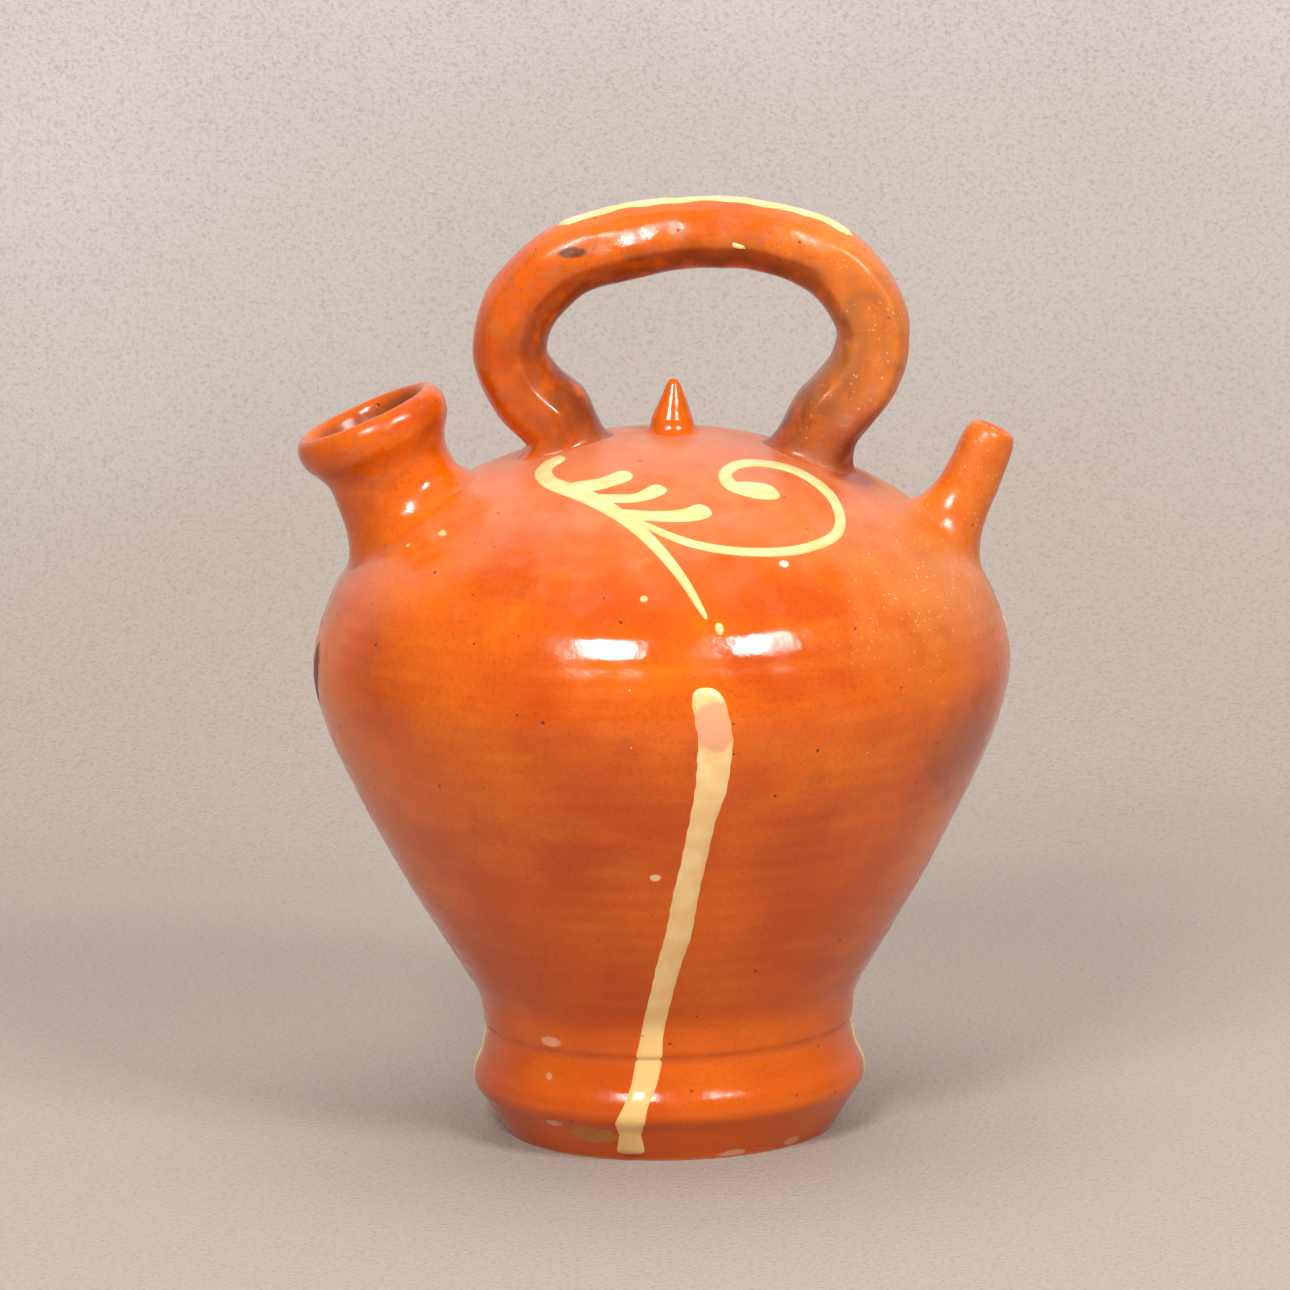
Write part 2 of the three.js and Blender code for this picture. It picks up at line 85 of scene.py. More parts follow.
# The outer outline of the thrown body, as (radius, height) in millimetres.
BASE_RADIUS = 48.5
BODY_HEIGHT = 207.3
WALL = 5.2
FLOOR = 8.0
FOOT_KNOTS = [(54.7, 10.2), (57.3, 14), (57, 18.5), (54.9, 23.5), (53.3, 31.5)]
BELLY_KNOTS = [
    (54.2, 32.4),
    (55.6, 41),
    (60.7, 50),
    (68, 62),
    (76.3, 76),
    (84.7, 92),
    (92.8, 108),
    (99.2, 124),
    (102, 141),
    (96.5, 160.5),
    (87.5, 173),
    (77, 182.3),
    (65, 190.2),
    (53, 196),
    (40.5, 200.8),
    (27, 204.6),
    (13.5, 206.7),
    (0, BODY_HEIGHT),
]


class BodyOutline:
    """The face of the body as a curve of radius against height, with its outward normal."""

    def __init__(self, points):
        self.radii, self.heights = points.T
        run = np.gradient(points, axis=0)
        run /= np.linalg.norm(run, axis=1)[:, None]
        self.normal_out, self.normal_up = run[:, 1], -run[:, 0]

    def radius(self, height):
        return float(np.interp(height, self.heights, self.radii, left=BASE_RADIUS, right=0))

    def normal(self, place):
        out = float(np.interp(place.z / MM, self.heights, self.normal_out))
        up = float(np.interp(place.z / MM, self.heights, self.normal_up))
        flat = Vector((place.x, place.y, 0))
        flat = flat.normalized() * out if flat.length > 1e-9 else flat
        return Vector((flat.x, flat.y, up)).normalized()

    def holds(self, place):
        return math.hypot(place.x, place.y) < self.radius(place.z / MM) * MM

    def meet(self, start, direction, lift=0.0):
        """Where a line from outside meets the body, lifted off it in millimetres."""
        outside, inside = 0.0, BODY_HEIGHT * MM
        for _ in range(26):
            middle = (outside + inside) / 2
            if self.holds(start + direction * middle):
                inside = middle
            else:
                outside = middle
        met = start + direction * outside
        return met + self.normal(met) * lift * MM


base_line = np.linspace([BASE_RADIUS, 0], FOOT_KNOTS[0], 12)[:-1]
foot_line = catmull_rom(FOOT_KNOTS, 60)
belly_line = even_steps(catmull_rom(BELLY_KNOTS, 900), 700)
BODY = BodyOutline(np.vstack([base_line, foot_line, belly_line]))


def pick_nothing():
    if bpy.context.object and bpy.context.object.mode != "OBJECT":
        bpy.ops.object.mode_set(mode="OBJECT")
    bpy.ops.object.select_all(action="DESELECT")


def edit_all():
    """Enters edit mode on the active piece with all of it selected."""
    bpy.ops.object.mode_set(mode="EDIT")
    bpy.ops.mesh.select_all(action="SELECT")


def apply_modifier(piece, name, kind, **settings):
    modifier = piece.modifiers.new(name, kind)
    for key, value in settings.items():
        setattr(modifier, key, value)
    pick_nothing()
    piece.select_set(True)
    bpy.context.view_layer.objects.active = piece
    bpy.ops.object.modifier_apply(modifier=modifier.name)


def spun(name, outline, steps, closed=False):
    """A turned piece: a point is drawn out along the outline, in millimetres, and spun about Z."""
    pick_nothing()
    bpy.ops.mesh.primitive_plane_add(size=MM)
    piece = bpy.context.object
    piece.name = name
    edit_all()
    bpy.ops.mesh.merge(type="CENTER")
    places = [Vector((radius * MM, 0, height * MM)) for radius, height in outline]
    bpy.ops.transform.translate(value=places[0])
    for here, there in zip(places, places[1:] + places[:1] * closed):
        bpy.ops.mesh.extrude_region_move(TRANSFORM_OT_translate={"value": there - here})
    bpy.ops.mesh.select_all(action="SELECT")
    bpy.ops.mesh.spin(steps=steps, angle=TAU, center=(0, 0, 0), axis=(0, 0, 1))
    bpy.ops.mesh.select_all(action="SELECT")
    bpy.ops.mesh.remove_doubles(threshold=0.002 * MM)
    bpy.ops.mesh.normals_make_consistent(inside=False)
    bpy.ops.object.mode_set(mode="OBJECT")
    return piece


def place_by(piece, matrix):
    """Moves a piece's mesh, so that its object stays at the origin."""
    piece.data.transform(matrix)
    piece.data.update()


def smooth(piece, angle=60):
    pick_nothing()
    piece.select_set(True)
    bpy.context.view_layer.objects.active = piece
    bpy.ops.object.shade_smooth_by_angle(angle=math.radians(angle))


def roughen(piece, name, size, strength, depth=2):
    """Pushes the face in and out by a soft noise, as a hand leaves it. Sizes in millimetres."""
    texture = bpy.data.textures.new(name, "CLOUDS")
    texture.noise_scale = size * MM
    texture.noise_depth = depth
    apply_modifier(
        piece, name, "DISPLACE", texture=texture, strength=strength * MM, mid_level=0.5,
        texture_coords="GLOBAL",
    )


UNEVEN_WALL = ("uneven_wall", 55, 0.9)
UNEVEN_PULL = ("uneven_pull", 17, 1.5)


def smear_onto_body(piece, start, down, length, seat_for, sink=0.35, within=1.0):
    """Draws the straight end of a piece out over the body, like clay smeared down with a thumb.

    The end runs on from `start` along `down`. Each point of it moves onto a curve that leaves
    along `down` and arrives flat on the body at the place that `seat_for` gives. Points farther
    than `within` metres from the start stay as they are.
    """
    for vertex in piece.data.vertices:
        if (vertex.co - start).length > within:
            continue
        depth = (vertex.co - start).dot(down)
        if depth <= 1e-7:
            continue
        foot = vertex.co - down * depth
        seat = seat_for(foot)
        if seat is None:
            continue
        share = min(depth / length, 1)
        normal = BODY.normal(seat)
        end = seat - normal * sink * MM
        reach = (end - foot).length
        outward = foot - start
        outward = (outward - normal * outward.dot(normal)).normalized() * reach
        s2, s3 = share**2, share**3
        vertex.co = (
            foot * (2 * s3 - 3 * s2 + 1)
            + down * reach * (s3 - 2 * s2 + share)
            + end * (3 * s2 - 2 * s3)
            + outward * (s3 - s2)
        )
    piece.data.update()


def finish_piece(piece, material, slot, *nodes):
    piece.data.materials.clear()
    piece.data.materials.append(material)
    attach(piece, "root")
    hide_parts(*nodes)


class Reading:
    """A number that changes over a surface: a socket with arithmetic on it."""

    def __init__(self, finish, socket):
        self.finish = finish
        self.socket = socket

    def _with(self, operation, first, second=None, clamp=False):
        inputs = [first] if second is None else [first, second]
        settings = {"operation": operation, "use_clamp": clamp}
        return Reading(self.finish, self.finish.node("ShaderNodeMath", settings, inputs).outputs[0])

    def __add__(self, other):
        return self._with("ADD", self, other)

    def __sub__(self, other):
        return self._with("SUBTRACT", self, other)

    def __rsub__(self, other):
        return self._with("SUBTRACT", other, self)

    def __mul__(self, other):
        return self._with("MULTIPLY", self, other)

    def __truediv__(self, other):
        return self._with("DIVIDE", self, other)

    def __pow__(self, other):
        return self._with("POWER", self, other)

    def __gt__(self, other):
        return self._with("GREATER_THAN", self, other)

    __radd__ = __add__
    __rmul__ = __mul__

    def capped(self):
        return self._with("ADD", self, 0.0, clamp=True)

    def least(self, other):
        return self._with("MINIMUM", self, other)

    def most(self, other):
        return self._with("MAXIMUM", self, other)

    def size(self):
        return self._with("ABSOLUTE", self)

    def ramp(self, low, high):
        """0 below `low`, 1 above `high` and smooth between."""
        settings = {"interpolation_type": "SMOOTHSTEP"}
        node = self.finish.node("ShaderNodeMapRange", settings, [self, low, high, 0.0, 1.0])
        return Reading(self.finish, node.outputs[0])


class Finish:
    """A material whose nodes are written as expressions on places in millimetres."""

    def __init__(self, name):
        self.material = bpy.data.materials.new(name)
        self.material.use_nodes = True
        self.tree = self.material.node_tree
        self.tree.nodes.clear()
        self.output = self.tree.nodes.new("ShaderNodeOutputMaterial")
        self.shader = self.tree.nodes.new("ShaderNodeBsdfPrincipled")
        self.tree.links.new(self.shader.outputs[0], self.output.inputs[0])
        coords = self.tree.nodes.new("ShaderNodeTexCoord").outputs["Object"]
        scaled = self.node("ShaderNodeVectorMath", {"operation": "SCALE"}, {0: coords, "Scale": 1 / MM})
        self.place = scaled.outputs[0]
        split = self.node("ShaderNodeSeparateXYZ", {}, [self.place]).outputs
        self.x, self.y, self.z = (Reading(self, socket) for socket in split)

    def node(self, kind, settings, inputs):
        """Any node: its type, its settings, and the values or links of its sockets."""
        made = self.tree.nodes.new(kind)
        for key, value in settings.items():
            setattr(made, key, value)
        pairs = inputs.items() if isinstance(inputs, dict) else enumerate(inputs)
        for key, value in pairs:
            socket = made.inputs[key]
            if isinstance(value, Reading):
                value = value.socket
            if isinstance(value, bpy.types.NodeSocket):
                self.tree.links.new(value, socket)
            elif value is not None:
                socket.default_value = value
        return made

    def noise(self, size, detail=2.0, stretch=(1, 1, 1), offset=(0, 0, 0), rough=0.5):
        """Soft noise whose lumps are about `size` millimetres."""
        scale = tuple(1 / (size * part) for part in stretch)
        mapped = self.node(
            "ShaderNodeMapping", {}, {"Vector": self.place, "Location": offset, "Scale": scale}
        )
        inputs = {"Vector": mapped.outputs[0], "Scale": 1.0, "Detail": detail, "Roughness": rough}
        return Reading(self, self.node("ShaderNodeTexNoise", {}, inputs).outputs[0])

    def cells(self, size, offset=(0, 0, 0)):
        """The distance to the nearest of scattered points about `size` millimetres apart."""
        mapped = self.node(
            "ShaderNodeMapping",
            {},
            {"Vector": self.place, "Location": offset, "Scale": (1 / size,) * 3},
        )
        inputs = {"Vector": mapped.outputs[0], "Scale": 1.0}
        return self.node("ShaderNodeTexVoronoi", {}, inputs)

    def specks(self, spacing, radius, share, offset=(0, 0, 0)):
        """Scattered specks: one of the given radius in a share of the cells, in millimetres."""
        made = self.cells(spacing, offset)
        distance = Reading(self, made.outputs["Distance"])
        tint = self.node("ShaderNodeSeparateColor", {}, [made.outputs["Color"]]).outputs
        chosen = 1 - (Reading(self, tint[0]) > share)
        grown = Reading(self, tint[1]) * 0.8 + 0.4
        return (1 - (distance * spacing / grown).ramp(radius * 0.6, radius)) * chosen

    def near(self, centre, radii, edge=0.3, wobble=0.0, grain=4.0):
        """1 within an oval of the given radii about a place and 0 outside, with a ragged edge."""
        shift = self.node("ShaderNodeVectorMath", {"operation": "SUBTRACT"}, [self.place, centre])
        inverse = tuple(1 / radius for radius in radii)
        scaled = self.node("ShaderNodeVectorMath", {"operation": "MULTIPLY"}, [shift.outputs[0], inverse])
        length = self.node("ShaderNodeVectorMath", {"operation": "LENGTH"}, [scaled.outputs[0]])
        distance = Reading(self, length.outputs["Value"])
        if wobble:
            distance = distance + (self.noise(grain, 3.0, offset=centre) - 0.5) * wobble
        return 1 - distance.ramp(1 - edge, 1 + edge)

    def mix(self, share, first, second):
        """A colour between two colours."""
        made = self.node("ShaderNodeMix", {"data_type": "RGBA"}, {0: share, 6: first, 7: second})
        return made.outputs[2]

    def bump(self, height, reach, strength=1.0, under=None):
        """A normal from a height in millimetres."""
        inputs = {"Height": height, "Distance": reach * MM, "Strength": strength}
        if under is not None:
            inputs["Normal"] = under
        return self.node("ShaderNodeBump", {}, inputs).outputs[0]

    def set(self, **inputs):
        names = {"color": "Base Color", "roughness": "Roughness", "normal": "Normal",
                 "specular": "Specular IOR Level", "alpha": "Alpha"}
        for key, value in inputs.items():
            socket = self.shader.inputs[names[key]]
            if isinstance(value, Reading):
                value = value.socket
            if isinstance(value, bpy.types.NodeSocket):
                self.tree.links.new(value, socket)
            else:
                socket.default_value = value
        return self.material


def rgb(red, green, blue):
    """A colour from its 0 to 255 screen values."""
    parts = [part / 255 for part in (red, green, blue)]
    return tuple(p / 12.92 if p <= 0.04045 else ((p + 0.055) / 1.055) ** 2.4 for p in parts) + (1.0,)


GLAZE_ORANGE = rgb(216, 96, 4)
GLAZE_LIGHT = rgb(232, 122, 10)
GLAZE_RED = rgb(194, 74, 4)
GLAZE_BROWN = rgb(116, 50, 20)
DUST_PINK = rgb(204, 138, 104)
SAND_GOLD = rgb(214, 136, 58)
BARE_CLAY = rgb(196, 128, 92)
PALE = rgb(240, 208, 168)
BROWN_DUST = rgb(150, 82, 46)


def glaze(name, dusty=None, sandy=None, brown=None, dust_color=DUST_PINK, extra=None):
    """Clear lead glaze over red clay: mottled, grained, specked and worn.

    `dusty`, `sandy` and `brown` are functions that give masks from the finish, and `extra` adds
    marks of the piece's own to the colour and roughness.
    """
    finish = Finish(name)
    broad = finish.noise(46, 4.0)
    streaks = finish.noise(16, 4.0, stretch=(1.8, 1.8, 0.5), offset=(3, 1, 7))
    grain = finish.noise(1.1, 4.0, rough=0.7)
    color = finish.mix(broad.ramp(0.32, 0.66), GLAZE_RED, GLAZE_ORANGE)
    color = finish.mix(streaks.ramp(0.45, 0.8) * 0.35, color, GLAZE_LIGHT)
    color = finish.mix(grain.ramp(0.46, 0.74) * 0.36, color, GLAZE_BROWN)
    pits = finish.specks(6.0, 0.6, 0.4)
    motes = finish.specks(2.6, 0.26, 0.5, offset=(5, 9, 2))
    pale = finish.specks(11.0, 0.36, 0.3, offset=(8, 2, 5))
    wear = finish.noise(24, 5.0, offset=(2, 7, 4), rough=0.7).ramp(0.56, 0.76)
    color = finish.mix(wear * 0.35, color, rgb(140, 58, 24))
    color = finish.mix(pits * 0.8, color, rgb(74, 34, 22))
    color = finish.mix(motes * 0.65, color, rgb(92, 40, 24))
    color = finish.mix(pale * 0.6, color, PALE)
    roughness = finish.noise(13, 3.0, offset=(6, 1, 8)).ramp(0.4, 0.75) * 0.16 + grain * 0.1 + 0.06
    if brown:
        color = finish.mix(brown(finish), color, GLAZE_BROWN)
    if sandy:
        sand = sandy(finish)
        gold = finish.specks(1.7, 0.42, 0.75, offset=(2, 2, 2))
        color = finish.mix(sand * 0.45, color, SAND_GOLD)
        color = finish.mix(sand * gold * 0.6, color, rgb(232, 190, 128))
        roughness = roughness + sand * 0.22
    if dusty:
        dust = dusty(finish)
        color = finish.mix(dust * 0.75, color, dust_color)
        roughness = roughness + dust * 0.35
    if extra:
        color, roughness = extra(finish, color, roughness)
    peel = finish.noise(3.2, 3.0, offset=(1, 5, 2)) * 0.07 + finish.noise(9, 2.0) * 0.2
    rings = finish.noise(2.6, 2.0, stretch=(14, 14, 0.7), offset=(4, 4, 4)) * 0.03
    normal = finish.bump(peel + rings + grain * 0.02 - pits * 0.15, 1.0, 1.0)
    return finish.set(color=color, roughness=roughness.capped(), specular=0.45, normal=normal)


def crown_dust(finish):
    """Dust lies on the crown and round the roots of what stands on it."""
    lump = finish.noise(9, 4.0, offset=(7, 7, 7))
    return (finish.z + (lump - 0.5) * 44).ramp(168, 216) * 0.7


def spout_sand(finish):
    """The glaze is thin and sandy on the shoulder by the spout."""
    lump = finish.noise(11, 4.0, offset=(1, 8, 3))
    side = (finish.x + (lump - 0.5) * 46).ramp(38, 84)
    return side * (finish.z + (lump - 0.5) * 20).ramp(132, 168)


def body_smudge(finish):
    """A dark smudge low on the belly towards the spout."""
    return finish.near((86, -42, 120), (13, 26, 14), 0.7, 1.6, 7) * 0.5


# Chips and marks on the body: the place, the radii and the colour of each, in millimetres. The dark red
# one on the left of the belly is bare clay where the slip is gone, painted dark with painted shade.
MARKS = [
    ((-33.7, -41.4, 34.7), (3.6, 3.6, 1.5), rgb(226, 170, 130)),
    ((-34.8, -41.7, 24.3), (1.2, 1.2, 1.2), rgb(214, 156, 112)),
    ((-33.9, -43.6, 10.7), (3, 3, 1), rgb(220, 170, 140)),
    ((17.2, -45.2, 1.2), (4.5, 3, 1.4), rgb(222, 172, 140)),
    ((34.9, -34.6, 2.1), (3, 3, 1.2), rgb(216, 160, 124)),
    ((-22.9, -48.4, 8.1), (9, 5, 2.6), rgb(166, 124, 56)),
    ((-3.2, -84.7, 92.2), (1.5, 2, 1.1), rgb(236, 190, 150)),
    ((-63.9, -39.8, 185.2), (2.4, 3.2, 1), rgb(240, 200, 140)),
    ((-73.9, -33.1, 180.7), (1.8, 2.6, 0.9), rgb(240, 200, 140)),
    # Bare clay where the slip is gone, its dark red painted shade: the same clay is painted pink where it
    # is lit.
    ((-101, -14.3, 140.1), (3, 7, 9), rgb(116, 30, 20)),
    ((-93, -20.9, 113.6), (2, 6, 0.5), rgb(230, 176, 130)),
    ((-4.9, -86.9, 173.5), (1.1, 1.1, 1), rgb(236, 176, 112)),
    ((35.1, -71.7, 180.1), (1.4, 1.6, 1), rgb(226, 190, 180)),
]


def body_marks(finish, color, roughness):
    """The chips and marks, one of them darkened with painted shade, a browner line in the groove over the
    foot, painted shade under the handle's root by the spout and low on the belly, and the bare underside.
    """
    lump = finish.noise(5, 3.0, offset=(9, 1, 1))
    worn = 0.0
    for place, radii, tint in MARKS:
        mark = finish.near(place, radii, 0.2, 0.7, 2.2)
        color = finish.mix(mark, color, tint)
        worn = mark + worn
    # A browner line painted in the groove over the foot.
    groove = (1 - (finish.z - 32.2).size().ramp(0.2, 1.1)) * lump.ramp(0.3, 0.6)
    color = finish.mix(groove * 0.35, color, GLAZE_BROWN)
    bare = (finish.z * -1).ramp(-1.0, -0.2)
    color = finish.mix(bare, color, BARE_CLAY)
    # Painted shade: a dark red patch on the crown under the handle's root by the spout, where the root
    # shades the body.
    painted_root_shade = finish.near((57, -6, 198), (9, 13, 10), 0.4, 0.5, 5)
    color = finish.mix(painted_root_shade * 0.7, color, rgb(126, 30, 12))
    # Painted shade: the belly is painted darker and redder towards the bottom, where less light falls on
    # it.
    painted_low_shade = (1 - finish.z.ramp(30, 120)) * 0.35
    color = finish.mix(painted_low_shade, color, GLAZE_RED)
    worn = worn.capped()
    return color, roughness + (worn * 0.3 + bare * 0.5 + groove * 0.3)


def slip_finish():
    """Cream slip under the glaze, with a little clay showing through and fine brown specks."""
    finish = Finish("cream_slip")
    broad = finish.noise(7, 3.0)
    grain = finish.noise(0.9, 3.0, rough=0.7)
    color = finish.mix(broad.ramp(0.35, 0.7), rgb(234, 190, 124), rgb(240, 206, 146))
    color = finish.mix(grain.ramp(0.55, 0.8) * 0.25, color, rgb(214, 162, 96))
    low = (1 - finish.z.ramp(14, 75)) * broad.ramp(0.3, 0.6)
    color = finish.mix(low * 0.5, color, rgb(226, 178, 84))
    lost = finish.near((14.3, -100.4, 138.8), (6.5, 9, 7.5), 0.15, 0.5, 4)
    color = finish.mix(lost * 0.9, color, rgb(224, 152, 112))
    chip = finish.near((-12.5, -47.5, 2.2), (4.2, 5, 1.8), 0.2, 0.5, 2)
    color = finish.mix(chip, color, rgb(226, 158, 124))
    specks = finish.specks(4.2, 0.34, 0.3)
    color = finish.mix(specks * 0.7, color, rgb(150, 96, 52))
    curl = finish.near((27.5, -42.5, 198), (7, 8, 8), 0.4) * finish.specks(5, 1.3, 0.6, offset=(3, 3, 1))
    color = finish.mix(curl * 0.8, color, rgb(140, 92, 56))
    normal = finish.bump(finish.noise(2.4, 2.0) * 0.08 + grain * 0.02, 1.0, 0.8)
    return finish.set(color=color, roughness=0.16, specular=0.4, normal=normal)


class JugSizes(bpy.types.PropertyGroup):
    """Sizes of the jug's clay pieces, in millimetres."""

    body_steps: IntProperty(name="Body steps", description="Steps round the body", default=192)
    throwing_ridge: FloatProperty(
        name="Throwing ridges", description="Height of the ridges left by throwing, mm", default=0.07
    )
    neck_lean: FloatProperty(
        name="Neck lean", description="Lean of the filling neck", default=math.radians(-22.5),
        subtype="ANGLE",
    )
    neck_offset: FloatProperty(
        name="Neck offset", description="How far its axis passes from the origin, mm", default=3.0
    )
    neck_bore: FloatProperty(name="Neck bore", description="Radius of the bore, mm", default=13.5)
    neck_skirt: FloatProperty(name="Neck skirt", description="Radius of its foot, mm", default=26.0)
    spout_lean: FloatProperty(
        name="Spout lean", description="Lean of the drinking spout", default=math.radians(25),
        subtype="ANGLE",
    )
    spout_offset: FloatProperty(
        name="Spout offset", description="How far its axis passes from the origin, mm", default=1.9
    )
    spout_bore: FloatProperty(name="Spout bore", description="Radius of the bore, mm", default=3.3)
    spout_skirt: FloatProperty(name="Spout skirt", description="Radius of its foot, mm", default=16.5)
    knob_x: FloatProperty(name="Knob place", description="Where the knob stands on X, mm", default=4.3)
    knob_lean: FloatProperty(
        name="Knob lean", description="Lean of the knob to the spout", default=math.radians(2.2),
        subtype="ANGLE",
    )
    slip_height: FloatProperty(
        name="Slip height", description="How far a trail stands up from the clay, mm", default=0.5
    )


class StudioSizes(bpy.types.PropertyGroup):
    """The camera, the lamps and the floor."""

    distance: FloatProperty(name="Distance", description="From the camera", default=2.6, unit="LENGTH")
    pitch: FloatProperty(
        name="Pitch", description="How far the camera looks down", default=math.radians(10.835),
        subtype="ANGLE",
    )
    roll: FloatProperty(
        name="Roll", description="Turn of the camera about its axis", default=math.radians(-1.05),
        subtype="ANGLE",
    )
    aim: FloatVectorProperty(
        name="Aim", description="What the middle of the picture shows",
        default=(-0.00485, 0, 0.1436), subtype="XYZ", unit="LENGTH",
    )
    lens: FloatProperty(name="Lens", description="Focal length, mm", default=247.4)
    floor_end: FloatProperty(
        name="Floor end", description="Where the floor turns up behind", default=0.75, unit="LENGTH"
    )
    floor_bend: FloatProperty(
        name="Floor bend", description="Radius of the turn", default=0.4, unit="LENGTH"
    )
    # The floor's colour carries painted shade and the backdrop's colour carries painted light: the sheet
    # is painted darker where it lies and lighter where it stands up.
    floor_shaded_color: FloatVectorProperty(
        name="Floor", description="Colour of the floor", default=rgb(170, 158, 148)[:3],
        subtype="COLOR",
    )
    backdrop_lit_color: FloatVectorProperty(
        name="Backdrop", description="Colour of the backdrop", default=rgb(224, 219, 224)[:3],
        subtype="COLOR",
    )


def leaning(lean, offset):
    """The place of a round piece whose axis leans in the XZ plane and misses the origin."""
    turn = Matrix.Rotation(lean, 4, "Y")
    return Matrix.Translation(turn @ Vector((offset * MM, 0, 0))) @ turn


class JUG_OT_body(bpy.types.Operator):
    """Throws the hollow body with its foot, waist and closed crown"""

    bl_idname = "jug.body"
    bl_label = "Thrown body"

    def execute(self, context):
        sizes = context.scene.jug_sizes
        outer = [(0, 0)]
        outer += [tuple(point) for point in base_line[::4]]
        outer += [tuple(point) for point in foot_line[::3]]
        for radius, height in belly_line[::4]:
            ridge = math.sin(height / 0.9 + 2 * math.sin(height / 11))
            fade = min(max((height - 36) / 20, 0), 1) * min(max((185 - height) / 30, 0), 1)
            outer.append((radius + sizes.throwing_ridge * ridge * fade, height))
        outer[-1] = (0, BODY_HEIGHT)
        body = spun("jug_body", outer, sizes.body_steps)
        roughen(body, *UNEVEN_WALL)
        well = [(0, FLOOR), (34, FLOOR), (42, FLOOR + 3), (46, FLOOR + 12), (47.5, 34)]
        for radius, height in belly_line[40:-20:30]:
            normal = BODY.normal(Vector((1, 0, height * MM)))
            well.append((radius - normal.x * WALL, height - normal.z * WALL))
        well.append((0, BODY_HEIGHT - WALL))
        self.cut(body, spun("inside", well, 96))
        for lean, offset, bore in (
            (sizes.neck_lean, sizes.neck_offset, sizes.neck_bore + 0.4),
            (sizes.spout_lean, sizes.spout_offset, sizes.spout_bore + 0.4),
        ):
            pick_nothing()
            bpy.ops.mesh.primitive_cylinder_add(
                vertices=64, radius=bore * MM, depth=60 * MM, location=(0, 0, 200 * MM)
            )
            drill = context.object
            drill.data.transform(Matrix.Translation(drill.location))
            drill.location = (0, 0, 0)
            place_by(drill, leaning(lean, offset))
            self.cut(body, drill)
        smooth(body, 40)
        material = glaze(
            "body_glaze", crown_dust, spout_sand, body_smudge, extra=body_marks
        )
        finish_piece(body, material, "thrown_body", "thrown_body")
        return {"FINISHED"}

    @staticmethod
    def cut(body, tool):
        apply_modifier(body, "cut", "BOOLEAN", operation="DIFFERENCE", solver="EXACT", object=tool)
        bpy.data.objects.remove(tool)


def luted_tube(name, outline, lean, offset, start_height, length, skirt, bore, steps):
    """A leaning tube spun from its outline, with its foot smeared over the shoulder."""
    rows = [(outline[0][0], start_height - length * share) for share in np.linspace(1, 0, 14)]
    inner = [(bore, start_height - length - 1.5)]
    piece = spun(name, rows[:-1] + outline + inner, steps, closed=True)
    place = leaning(lean, offset)
    place_by(piece, place)
    down = place.to_3x3() @ DOWN
    start = place @ Vector((0, 0, start_height * MM))

    def seat_for(foot):
        outward = foot - start
        if outward.length < (bore + 1) * MM:
            return None
        return BODY.meet(foot + outward.normalized() * (skirt * MM - outward.length), down)

    smear_onto_body(piece, start, down, length * MM, seat_for)
    return piece


class JUG_OT_neck(bpy.types.Operator):
    """Turns the filling neck with its rolled rim and lutes it on the shoulder"""

    bl_idname = "jug.neck"
    bl_label = "Filling neck"

    def execute(self, context):
        sizes = context.scene.jug_sizes
        rim = [(18.3, 208), (18.1, 212), (18.7, 215.3), (20.4, 218.6), (22.3, 221.6), (23, 224.6),
               (22.9, 227), (21.9, 229.5), (20.3, 230.7), (18.6, 230.3), (17.5, 228.6),
               (16.6, 225.5), (15.2, 221.5), (14.2, 216.5), (13.6, 211), (13.5, 205)]
        line = [tuple(point) for point in catmull_rom(rim, 80)]
        neck = luted_tube("jug_filling_neck", line, sizes.neck_lean, sizes.neck_offset, 208, 18,
                          sizes.neck_skirt, sizes.neck_bore, 128)
        roughen(neck, "uneven_neck", 22, 1.0)
        smooth(neck)

        def inside(finish):
            """1 within the bore and the mouth, which lie nearer the axis than the outer face."""
            across = finish.x * math.cos(sizes.neck_lean) - finish.z * math.sin(sizes.neck_lean)
            across = across - sizes.neck_offset
            distance = (across**2 + finish.y**2) ** 0.5
            return 1 - distance.ramp(sizes.neck_bore + 2.8, sizes.neck_bore + 4.6)

        def rim_dust(finish):
            lump = finish.noise(6, 4.0)
            return (lump.ramp(0.4, 0.75) * 0.3 + inside(finish) * 0.5).capped()

        def fired_brown(finish):
            lump = finish.noise(10, 4.0, offset=(4, 2, 9))
            return (lump.ramp(0.45, 0.75) * 0.3 + inside(finish) * 0.9).capped()

        material = glaze("neck_glaze", rim_dust, None, fired_brown, BROWN_DUST)
        finish_piece(neck, material, "filling_neck", "filling_neck")
        return {"FINISHED"}


class JUG_OT_spout(bpy.types.Operator):
    """Turns the thin drinking spout and lutes it on the other shoulder"""

    bl_idname = "jug.spout"
    bl_label = "Drinking spout"

    def execute(self, context):
        sizes = context.scene.jug_sizes
        lip = [(8.4, 211), (8.1, 216), (7.9, 222), (7.4, 225.6), (6.7, 227.6), (5.6, 228.6),
               (4.4, 228.4), (3.5, 227.2), (3.3, 222), (3.3, 208)]
        line = [tuple(point) for point in catmull_rom(lip, 60)]
        spout = luted_tube("jug_drinking_spout", line, sizes.spout_lean, sizes.spout_offset, 211, 26,
                           sizes.spout_skirt, sizes.spout_bore, 96)
        roughen(spout, "uneven_spout", 14, 0.8)
        smooth(spout)

        def all_over(finish):
            return finish.noise(8, 4.0).ramp(0.3, 0.7) * 0.5 + 0.35

        material = glaze("spout_glaze", None, all_over)
        finish_piece(spout, material, "drinking_spout", "drinking_spout")
        return {"FINISHED"}


